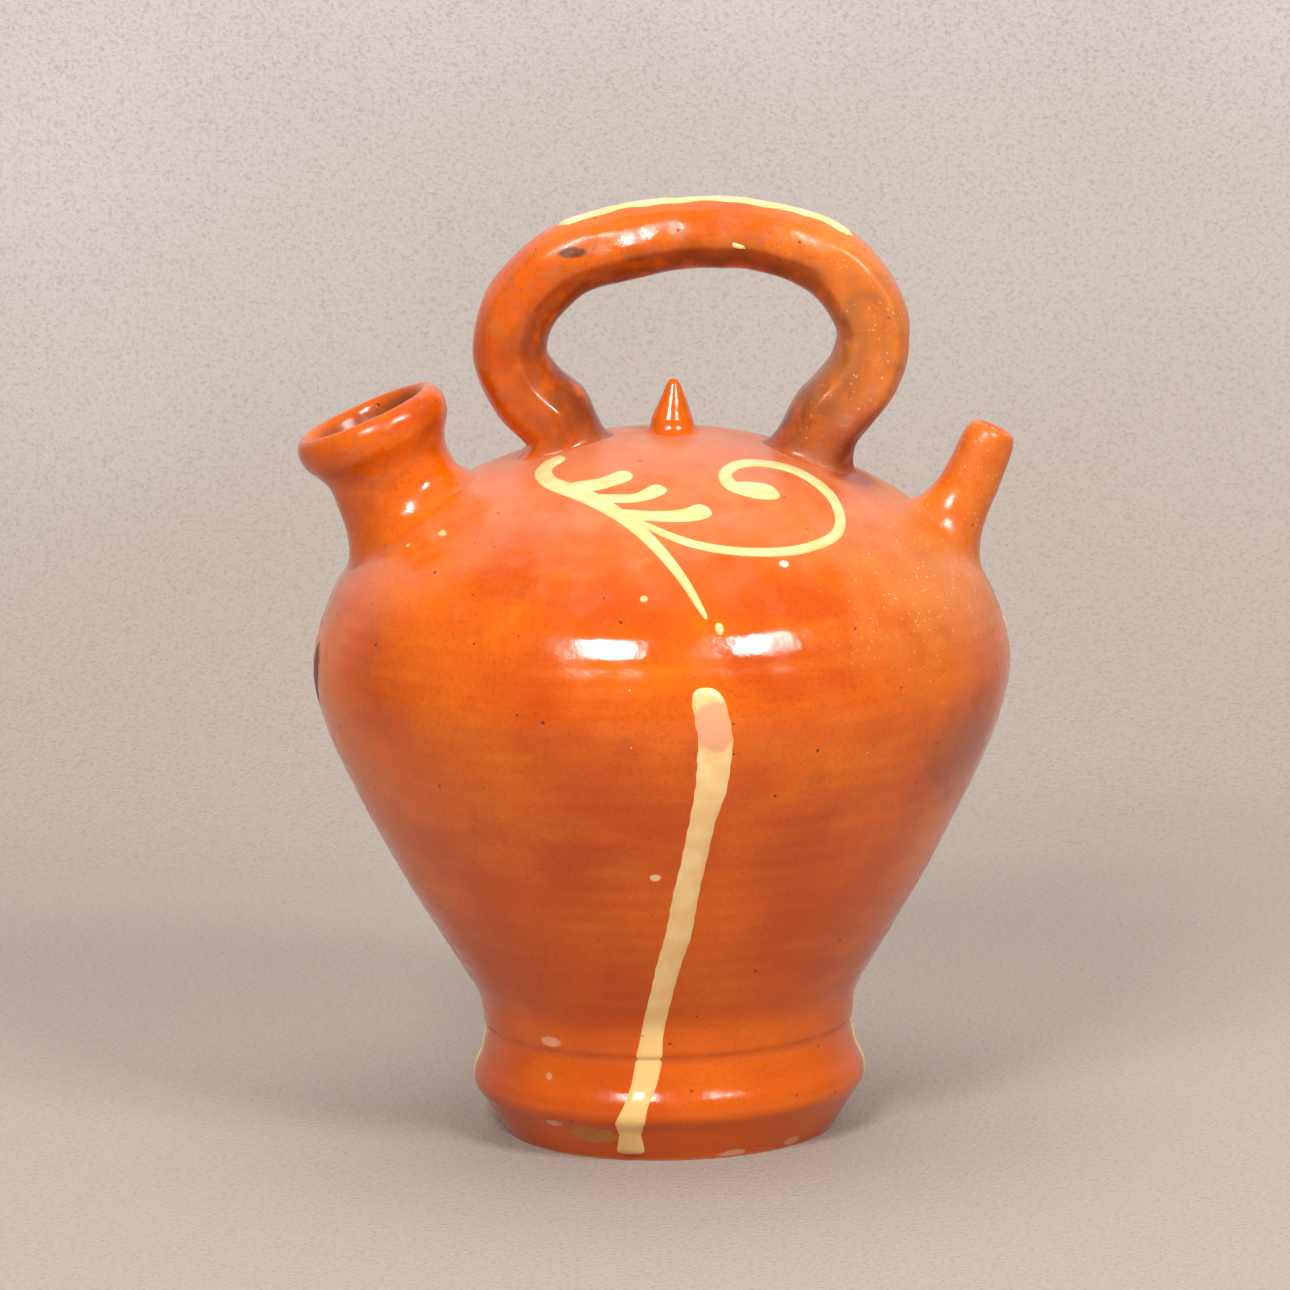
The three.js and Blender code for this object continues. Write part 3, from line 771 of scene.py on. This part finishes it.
# The middle line of the handle: x, z, half thickness and half depth, in millimetres.
HANDLE_KNOTS = [
    (-30.5, 213, 11.8, 14.2),
    (-38.5, 221, 11.3, 13.6),
    (-42.6, 232, 11, 13.2),
    (-38.6, 245.5, 11, 13),
    (-26, 257.5, 10.8, 13),
    (-5.5, 263.5, 10.8, 13),
    (14, 265.5, 10.3, 13),
    (34, 263.3, 10.3, 13),
    (53, 254.5, 10.8, 13),
    (62.9, 238.5, 10.7, 13.2),
    (60.5, 224, 10.8, 13.6),
    (50.5, 212, 11.3, 14.2),
]
HANDLE_SIDES = 64
HANDLE_STATIONS = 110
ROOT_LENGTH = 12.0
ROOT_STEPS = 10
ROOT_DEPTH = 15.0
ROOTS = {"neck": (-46.0, -12.0), "spout": (59.0, 29.0)}


# The front half of its section from the outer face to the inner one, as shares of the half
# thickness and half depth: over the neck and the top it has one ridge with a chamfer behind it,
# and down the leg by the spout a flat face between two ridges.
RIDGED_SECTION = [(1, 0), (0.93, 0.42), (0.66, 0.84), (0.25, 1), (-0.1, 1.07), (-0.24, 1.06),
                  (-0.42, 0.9), (-0.76, 0.6), (-0.96, 0.3), (-1, 0)]
FLAT_SECTION = [(1, 0), (0.95, 0.5), (0.8, 0.86), (0.66, 1.03), (0.5, 1.03), (0, 0.96),
                (-0.42, 1.03), (-0.6, 0.98), (-0.86, 0.6), (-0.97, 0.3), (-1, 0)]
FLAT_FROM = 0.68
FLAT_FULLY = 0.8

handle_line = even_steps(catmull_rom(HANDLE_KNOTS, 1500), 1001)
ridged_line = even_steps(catmull_rom(RIDGED_SECTION, 300), 101)
flat_line = even_steps(catmull_rom(FLAT_SECTION, 300), 101)


def at_share(line, share):
    """The place at a share of an evenly stepped line."""
    place = min(max(share, 0), 1) * (len(line) - 1)
    index = min(int(place), len(line) - 2)
    return line[index] + (line[index + 1] - line[index]) * (place - index)


def handle_frame(along):
    """The middle, the sizes, the tangent and the outward direction at a share of the loop."""
    x, z, thick, deep = at_share(handle_line, along)
    run = at_share(handle_line, along + 0.002) - at_share(handle_line, along - 0.002)
    tangent = Vector((run[0], 0, run[1])).normalized()
    return Vector((x, 0, z)), thick, deep, tangent, Vector((-tangent.z, 0, tangent.x))


def handle_point(along, angle, lift=0.0):
    """A place on the handle in metres, from its share of the loop and the angle round its section."""
    middle, thick, deep, _, outward = handle_frame(along)
    angle = (angle + math.pi) % TAU - math.pi
    blend = min(max((along - FLAT_FROM) / (FLAT_FULLY - FLAT_FROM), 0), 1)
    share = abs(angle) / math.pi
    out, forward = at_share(ridged_line, share) * (1 - blend) + at_share(flat_line, share) * blend
    out, forward = out * thick + lift * math.cos(angle), forward * deep + lift * abs(math.sin(angle))
    return (middle + outward * out - Vector((0, math.copysign(forward, angle), 0))) * MM


def handle_rings():
    """The rings of the handle from root to root, each with its centre and its tangent."""
    rings = []
    for station in range(HANDLE_STATIONS + 1):
        along = station / HANDLE_STATIONS
        ring = [handle_point(along, TAU * side / HANDLE_SIDES) for side in range(HANDLE_SIDES)]
        middle, _, _, tangent, _ = handle_frame(along)
        rings.append((middle * MM, tangent, ring))
    return rings


class JUG_OT_handle(bpy.types.Operator):
    """Pulls the loop handle from root to root and smears its roots over the crown"""

    bl_idname = "jug.handle"
    bl_label = "Loop handle"

    def execute(self, context):
        rings = handle_rings()
        first, last = rings[0], rings[-1]
        rows = []
        for step in range(ROOT_STEPS, 0, -1):
            rows.append([p - first[1] * ROOT_LENGTH * MM * step / ROOT_STEPS for p in first[2]])
        rows += [ring for _, _, ring in rings]
        for step in range(1, ROOT_STEPS + 1):
            rows.append([p + last[1] * ROOT_LENGTH * MM * step / ROOT_STEPS for p in last[2]])
        handle = self.drawn_through(rows)
        self.root(handle, first[0], -first[1], *ROOTS["neck"])
        self.root(handle, last[0], last[1], *ROOTS["spout"])
        roughen(handle, *UNEVEN_PULL)
        smooth(handle)

        def inner_brown(finish):
            lump = finish.noise(7, 4.0, offset=(2, 6, 1))
            inner = finish.near((13, 0, 231), (56, 40, 34), 0.22, 0.3, 9)
            return inner * lump.ramp(0.22, 0.55) * 0.9

        def dusty_grip(finish):
            lump = finish.noise(5, 4.0, offset=(6, 6, 2))
            front = (finish.y * -1).ramp(4, 13) * lump.ramp(0.42, 0.7) * 0.55
            roots = (1 - finish.z.ramp(198, 214)) * lump.ramp(0.3, 0.6) * 0.7
            return (front + roots).capped()

        def spout_leg(finish):
            lump = finish.noise(7, 4.0)
            return (finish.x + (lump - 0.5) * 30).ramp(30, 60) * 0.8

        def root_shade_and_chip(finish, color, roughness):
            # Painted shade: a dark red patch on the shaded underside of the handle's root by the spout.
            # The chip is a chip in the glaze.
            painted_root_shade = finish.near((60, -8, 203), (9, 16, 12), 0.5, 0.5, 5)
            chip = finish.near((-24, -12.6, 262), (4, 3, 1.6), 0.3, 0.8, 3)
            color = finish.mix(painted_root_shade * 0.75, color, rgb(124, 30, 12))
            return finish.mix(chip * 0.8, color, rgb(70, 34, 22)), roughness

        material = glaze(
            "handle_glaze", dusty_grip, spout_leg, inner_brown, BROWN_DUST, root_shade_and_chip
        )
        finish_piece(handle, material, "loop_handle", "loop_handle")
        return {"FINISHED"}

    @staticmethod
    def drawn_through(rows):
        """A tube drawn out ring by ring: each ring is extruded, then set to its section."""
        pick_nothing()
        bpy.ops.mesh.primitive_circle_add(vertices=HANDLE_SIDES, radius=10 * MM, fill_type="NGON")
        handle = bpy.context.object
        handle.name = "jug_loop_handle"
        edit_all()
        for _ in rows[1:]:
            bpy.ops.mesh.extrude_region_move(TRANSFORM_OT_translate={"value": (0, 0, MM)})
        bpy.ops.object.mode_set(mode="OBJECT")
        for vertex in handle.data.vertices:
            row = round(vertex.co.z / MM)
            side = round(math.atan2(vertex.co.y, vertex.co.x) / TAU * HANDLE_SIDES) % HANDLE_SIDES
            vertex.co = rows[row][side]
        handle.data.update()
        edit_all()
        bpy.ops.mesh.normals_make_consistent(inside=False)
        bpy.ops.object.mode_set(mode="OBJECT")
        return handle

    @staticmethod
    def root(handle, start, down, outer, inner):
        middle = Vector(((outer + inner) / 2 * MM, 0, start.z))
        half = abs(outer - inner) / 2

        def seat_for(foot):
            aside = foot - start
            side = Vector((down.z, 0, -down.x))
            across = aside.dot(side) / (12 * MM) * (1 if down.z < 0 else -1)
            forward = aside.y / (14.5 * MM)
            angle = math.atan2(forward, across)
            spot = middle + Vector((-math.cos(angle) * half, math.sin(angle) * ROOT_DEPTH, 0)) * MM
            spot.z = (BODY_HEIGHT + 10) * MM
            return BODY.meet(spot, DOWN)

        smear_onto_body(handle, start, down, ROOT_LENGTH * MM, seat_for, within=24 * MM)


class JUG_OT_knob(bpy.types.Operator):
    """Pinches the small knob on the crown"""

    bl_idname = "jug.knob"
    bl_label = "Pinched knob"

    def execute(self, context):
        sizes = context.scene.jug_sizes
        tip = [(6.1, 211), (5, 213.6), (3.9, 216.4), (2.8, 219), (1.9, 221.2), (1, 222.4), (0, 222.7)]
        line = [tuple(point) for point in catmull_rom(tip, 28)]
        rows = [(tip[0][0], tip[0][1] - 6 * share) for share in np.linspace(1, 0, 8)]
        knob = spun("jug_knob", [(0, 205.4), *rows[:-1], *line], 48)
        lean = sizes.knob_lean
        place = leaning(lean, sizes.knob_x * math.cos(lean) - BODY_HEIGHT * math.sin(lean))
        place_by(knob, place)
        start = place @ Vector((0, 0, tip[0][1] * MM))
        down = place.to_3x3() @ DOWN

        def seat_for(foot):
            outward = foot - start
            if outward.length < 3 * MM:
                return None
            return BODY.meet(start + outward.normalized() * 9 * MM, down)

        smear_onto_body(knob, start, down, 6 * MM, seat_for)
        roughen(knob, "uneven_knob", 9, 0.5)
        smooth(knob)
        finish_piece(knob, glaze("knob_glaze"), "pinched_knob", "pinched_knob")
        return {"FINISHED"}


# Each trail on the shoulder in plan, as (x, y, half width) in millimetres.
SPRAY = {
    "stem": [(-26.5, -19, 3.8), (-30.5, -20.5, 4), (-33.2, -25.5, 3), (-32.3, -32.5, 2.8),
             (-28, -39.5, 3.2), (-20, -48.5, 3.2), (-10, -60.5, 2.6), (-1.5, -71.5, 2.1),
             (5.5, -81, 1.7), (10.5, -88, 1.2), (13, -91, 0.7)],
    "drop": [(14.8, -92.2, 0.8), (16.2, -92.2, 1.3), (17.8, -92, 0.9)],
    "leaf_upper": [(-27.5, -40.5, 3), (-19, -42, 3.8), (-14.5, -41.3, 3.8), (-11, -39.7, 4.1),
                   (-7.5, -38, 3.8)],
    "leaf_middle": [(-20.5, -48.5, 2), (-12.5, -50.8, 2.3), (-7, -51.5, 2.4), (-2.5, -49.6, 3.2),
                    (1.6, -46, 3.6)],
    "leaf_lower": [(-13, -57.5, 2.2), (-2.5, -60.2, 2.5), (4.5, -60.5, 2.9), (9.5, -59.3, 3.6),
                   (14.6, -56, 4.2)],
    "scroll": [(-7.5, -61.5, 1.3), (3, -68.5, 1.5), (12.5, -71.5, 1.6), (24, -71.2, 1.6),
               (35.5, -67.5, 1.6), (44, -61.5, 1.6), (50, -54, 1.6), (52, -45.5, 1.8),
               (50.2, -35.5, 2.3), (45.5, -27.5, 3.2), (38.5, -23.5, 3.4), (30, -25, 2.8),
               (22.8, -29.8, 2.4), (19.2, -37, 2.2), (21, -43, 3.4), (26, -43.8, 5), (31, -42.6, 5),
               (34.8, -41.3, 3.4)],
}
BAND_HALF_WIDTH = 4.4
BAND_TOP = 151.0
BAND_FOOT = 1.5
FRONT_DRIFT = [(0, -14), (12, -12.5), (24, -8), (45, -3.4), (71, 1.9), (94, 5), (118, 7.4),
               (135, 8.3), (160, 6)]
FRONT_WIDTH = [(0, 9), (2.2, 10), (8.9, 7.4), (13, 10.2), (18, 8.2), (32, 9), (38, 7.6), (55, 7.6),
               (71, 8.6), (94, 8.4), (110, 8.6), (118, 10.2), (130, 11.4), (140, 11.6), (150, 10.4)]
STRAIGHT_BANDS = {"right": 94, "back": 180, "left": 266}


def trail(name, stations, across, ends, place, node, under):
    """A slip trail: a grid laid along its line, crowned in the middle and sunk at its edges.

    `place` gives a point from the share along, the side from -1 to 1 and the lift in millimetres.
    The trail is rounded over the two shares of its length in `ends`.
    `under` is the unevenness of the clay that it lies on, which it follows.
    """
    pick_nothing()
    bpy.ops.mesh.primitive_grid_add(x_subdivisions=stations, y_subdivisions=across, size=2)
    piece = bpy.context.object
    piece.name = name
    height = bpy.context.scene.jug_sizes.slip_height
    for vertex in piece.data.vertices:
        along, side = (vertex.co.x + 1) / 2, vertex.co.y
        tip = min(along / ends[0], (1 - along) / ends[1], 1)
        narrow = math.sqrt(max(1 - (1 - tip) ** 2, 0.004))
        crown = (1 - abs(side) ** 4) * min(1, 2 * tip + 0.1)
        vertex.co = place(along, side * narrow, height * crown - 0.35 * (1 - crown))
    piece.data.update()
    roughen(piece, *under)
    apply_modifier(piece, "under", "SOLIDIFY", thickness=0.6 * MM, offset=-1)
    smooth(piece, 50)
    finish_piece(piece, bpy.data.materials["cream_slip"], "white_slip", node)
    return piece


class JUG_OT_slip(bpy.types.Operator):
    """Trails the cream slip: four bands, the spray, and the stripe and drop on the handle"""

    bl_idname = "jug.slip"
    bl_label = "Slip trails"

    def execute(self, context):
        slip_finish()
        drift = np.array(FRONT_DRIFT, float)
        for side, azimuth in {"front": 0, **STRAIGHT_BANDS}.items():
            front = side == "front"
            width = np.array(FRONT_WIDTH if front else [(0, 2 * BAND_HALF_WIDTH)], float)
            self.band(side, azimuth, drift * (1, front), width)
        for part, knots in SPRAY.items():
            self.stroke(part, np.array(knots, float))
        self.on_handle("stripe", -24, 52, 0.14, 3.4, 120, (0.05, 0.05))
        self.on_handle("drop", 22.4, 26.6, 1.72, 1.3, 16, (0.4, 0.4))
        return {"FINISHED"}

    @staticmethod
    def band(side, azimuth, drift, width):
        heights = BODY.heights
        rows = np.stack([BODY.radii, heights], 1)[(heights > BAND_FOOT) & (heights < BAND_TOP)]
        rows = even_steps(rows[::-1], 200)

        def place(along, across, lift):
            radius, height = rows[min(int(along * 199 + 0.5), 199)]
            wander = math.sin(height / 9 + azimuth) * 0.25 + math.sin(height / 3.7) * 0.12
            turn = math.radians(azimuth + float(np.interp(height, drift[:, 0], drift[:, 1])))
            half = float(np.interp(height, width[:, 0], width[:, 1])) / 2
            turn += (across * half + wander) / radius
            spot = Vector((radius * math.sin(turn), -radius * math.cos(turn), height)) * MM
            return spot + BODY.normal(spot) * lift * MM

        node = "slip_band_" + side
        trail("jug_" + node, 199, 12, (0.03, 0.01), place, node, UNEVEN_WALL)

    @staticmethod
    def stroke(part, knots):
        line = even_steps(catmull_rom(knots, 500), 300)
        runs = np.gradient(line[:, :2], axis=0)
        runs /= np.linalg.norm(runs, axis=1)[:, None]
        length = float(np.sum(np.linalg.norm(np.diff(line[:, :2], axis=0), axis=1)))

        def place(along, across, lift):
            index = min(int(along * 299 + 0.5), 299)
            x, y, half = line[index]
            run_x, run_y = runs[index]
            offset = across * half
            spot = Vector((x - run_y * offset, y + run_x * offset, 240)) * MM
            return BODY.meet(spot, DOWN, lift)

        ends = (knots[0][2] / length, knots[-1][2] / length)
        node = "slip_spray_" + part
        trail("jug_" + node, max(int(length / 0.5), 10), 10, ends, place, node, UNEVEN_WALL)

    @staticmethod
    def on_handle(part, start_x, end_x, angle, half, stations, ends):
        top = np.arange(300, 850)
        start, end = np.interp([start_x, end_x], handle_line[top, 0], top / 1000)

        def place(along, across, lift):
            run = along * (end_x - start_x)
            wander = 0.05 * math.sin(run * 0.276) + 0.03 * math.sin(run * 0.618)
            turn = angle + wander - across * half / 13
            return handle_point(start + (end - start) * along, turn, lift)

        node = "slip_handle_" + part
        trail("jug_" + node, stations, 10, ends, place, node, UNEVEN_PULL)


class JUG_OT_studio(bpy.types.Operator):
    """Sets up the floor, the soft lamps and the camera"""

    bl_idname = "jug.studio"
    bl_label = "Studio"

    def execute(self, context):
        scene = context.scene
        studio = scene.jug_studio
        scene.view_settings.view_transform = "Standard"
        self.camera(scene, studio)
        self.sweep(studio)
        world = bpy.data.worlds.new("soft_room")
        world.use_nodes = True
        world.node_tree.nodes["Background"].inputs[0].default_value = (1.0, 0.985, 0.97, 1)
        world.node_tree.nodes["Background"].inputs[1].default_value = 0.26
        scene.world = world
        self.lamp("soft_box_left", (-0.55, -1.5, 1.35), (0.6, 0.34), 28)
        self.lamp("soft_box_right", (0.95, -1.25, 1.35), (0.6, 0.34), 25)
        overhead = self.lamp("overhead", (0, 0.1, 2.2), (1.6, 1.6), 26)
        overhead.visible_glossy = False
        return {"FINISHED"}

    @staticmethod
    def camera(scene, studio):
        lens = bpy.data.cameras.new("camera")
        lens.lens = studio.lens
        lens.sensor_width = 36
        camera = bpy.data.objects.new("camera", lens)
        scene.collection.objects.link(camera)
        aim = Vector(studio.aim)
        back = Vector((0, -math.cos(studio.pitch), math.sin(studio.pitch)))
        turn = Matrix.Rotation(math.pi / 2 - studio.pitch, 4, "X") @ Matrix.Rotation(studio.roll, 4, "Z")
        camera.matrix_world = Matrix.Translation(aim + back * studio.distance) @ turn
        scene.camera = camera

    @staticmethod
    def lamp(name, place, size, power):
        light = bpy.data.lights.new(name, "AREA")
        light.shape = "RECTANGLE"
        light.size, light.size_y = size
        light.energy = power
        lamp = bpy.data.objects.new(name, light)
        bpy.context.scene.collection.objects.link(lamp)
        lamp.location = place
        lamp.rotation_euler = (Vector((0, 0, 0.13)) - Vector(place)).to_track_quat("-Z", "Y").to_euler()
        return lamp

    @staticmethod
    def sweep(studio):
        """A floor that curves up into a backdrop, in one sheet that can't be seen from behind."""
        pick_nothing()
        bpy.ops.mesh.primitive_plane_add(size=8, location=(0, 0, 0))
        floor = bpy.context.object
        floor.name = "floor"
        floor.data.transform(Matrix.Translation((0, studio.floor_end - 4, 0)))
        edit_all()
        bpy.ops.mesh.select_all(action="DESELECT")
        bpy.ops.object.mode_set(mode="OBJECT")
        for edge in floor.data.edges:
            ends = [floor.data.vertices[i].co for i in edge.vertices]
            edge.select = all(end.y > studio.floor_end - 0.1 for end in ends)
        bpy.ops.object.mode_set(mode="EDIT")
        bpy.ops.mesh.extrude_region_move(TRANSFORM_OT_translate={"value": (0, 0.001, 5)})
        bpy.ops.mesh.select_all(action="DESELECT")
        bpy.ops.object.mode_set(mode="OBJECT")
        for edge in floor.data.edges:
            ends = [floor.data.vertices[i].co for i in edge.vertices]
            edge.select = all(end.y > studio.floor_end - 0.1 and end.z < 0.01 for end in ends)
        bpy.ops.object.mode_set(mode="EDIT")
        bpy.ops.mesh.bevel(offset=studio.floor_bend, segments=24, affect="EDGES")
        bpy.ops.object.mode_set(mode="OBJECT")
        smooth(floor, 60)
        finish = Finish("floor_paper")
        grain = finish.noise(1.6, 3.0, rough=0.6)
        broad = finish.noise(260, 2.0)
        wall = (*studio.backdrop_lit_color, 1)
        # Painted light and shade: the sheet is painted darker on the floor and lighter up the backdrop,
        # blending softly over the bend.
        color = finish.mix((finish.z + (broad - 0.5) * 200).ramp(0, 620), (*studio.floor_shaded_color, 1), wall)
        # Painted shade: the floor is painted darker towards the front.
        color = finish.mix((1 - finish.y.ramp(-700, 100)) * 0.3, color, rgb(146, 134, 124))
        color = finish.mix(grain.ramp(0.45, 0.75) * 0.34, color, rgb(122, 110, 100))
        normal = finish.bump(grain * 1.2, 1.0, 0.8)
        behind = Reading(finish, finish.node("ShaderNodeNewGeometry", {}, []).outputs["Backfacing"])
        looks = {"color": color, "roughness": 0.75, "normal": normal, "alpha": 1 - behind}
        floor.data.materials.append(finish.set(**looks))


class JUG_PT_panel(bpy.types.Panel):
    """Lists the jug's pieces in the sidebar"""

    bl_idname = "JUG_PT_panel"
    bl_label = "Slipware jug"
    bl_space_type = "VIEW_3D"
    bl_region_type = "UI"
    bl_category = "Jug"

    def draw(self, context):
        for group in (context.scene.jug_sizes, context.scene.jug_studio):
            for key in group.__annotations__:
                self.layout.prop(group, key)
        for step in STEPS:
            self.layout.operator(step.bl_idname)


STEPS = (JUG_OT_studio, JUG_OT_body, JUG_OT_neck, JUG_OT_spout, JUG_OT_handle, JUG_OT_knob, JUG_OT_slip)
CLASSES = (JugSizes, StudioSizes, *STEPS, JUG_PT_panel)


def register():
    for cls in CLASSES:
        bpy.utils.register_class(cls)
    bpy.types.Scene.jug_sizes = PointerProperty(type=JugSizes)
    bpy.types.Scene.jug_studio = PointerProperty(type=StudioSizes)


def unregister():
    del bpy.types.Scene.jug_studio
    del bpy.types.Scene.jug_sizes
    for cls in reversed(CLASSES):
        bpy.utils.unregister_class(cls)


def main():
    register()
    bpy.ops.jug.studio()
    bpy.ops.jug.body()
    bpy.ops.jug.neck()
    bpy.ops.jug.spout()
    bpy.ops.jug.handle()
    bpy.ops.jug.knob()
    bpy.ops.jug.slip()


if __name__ == "__main__":
    main()
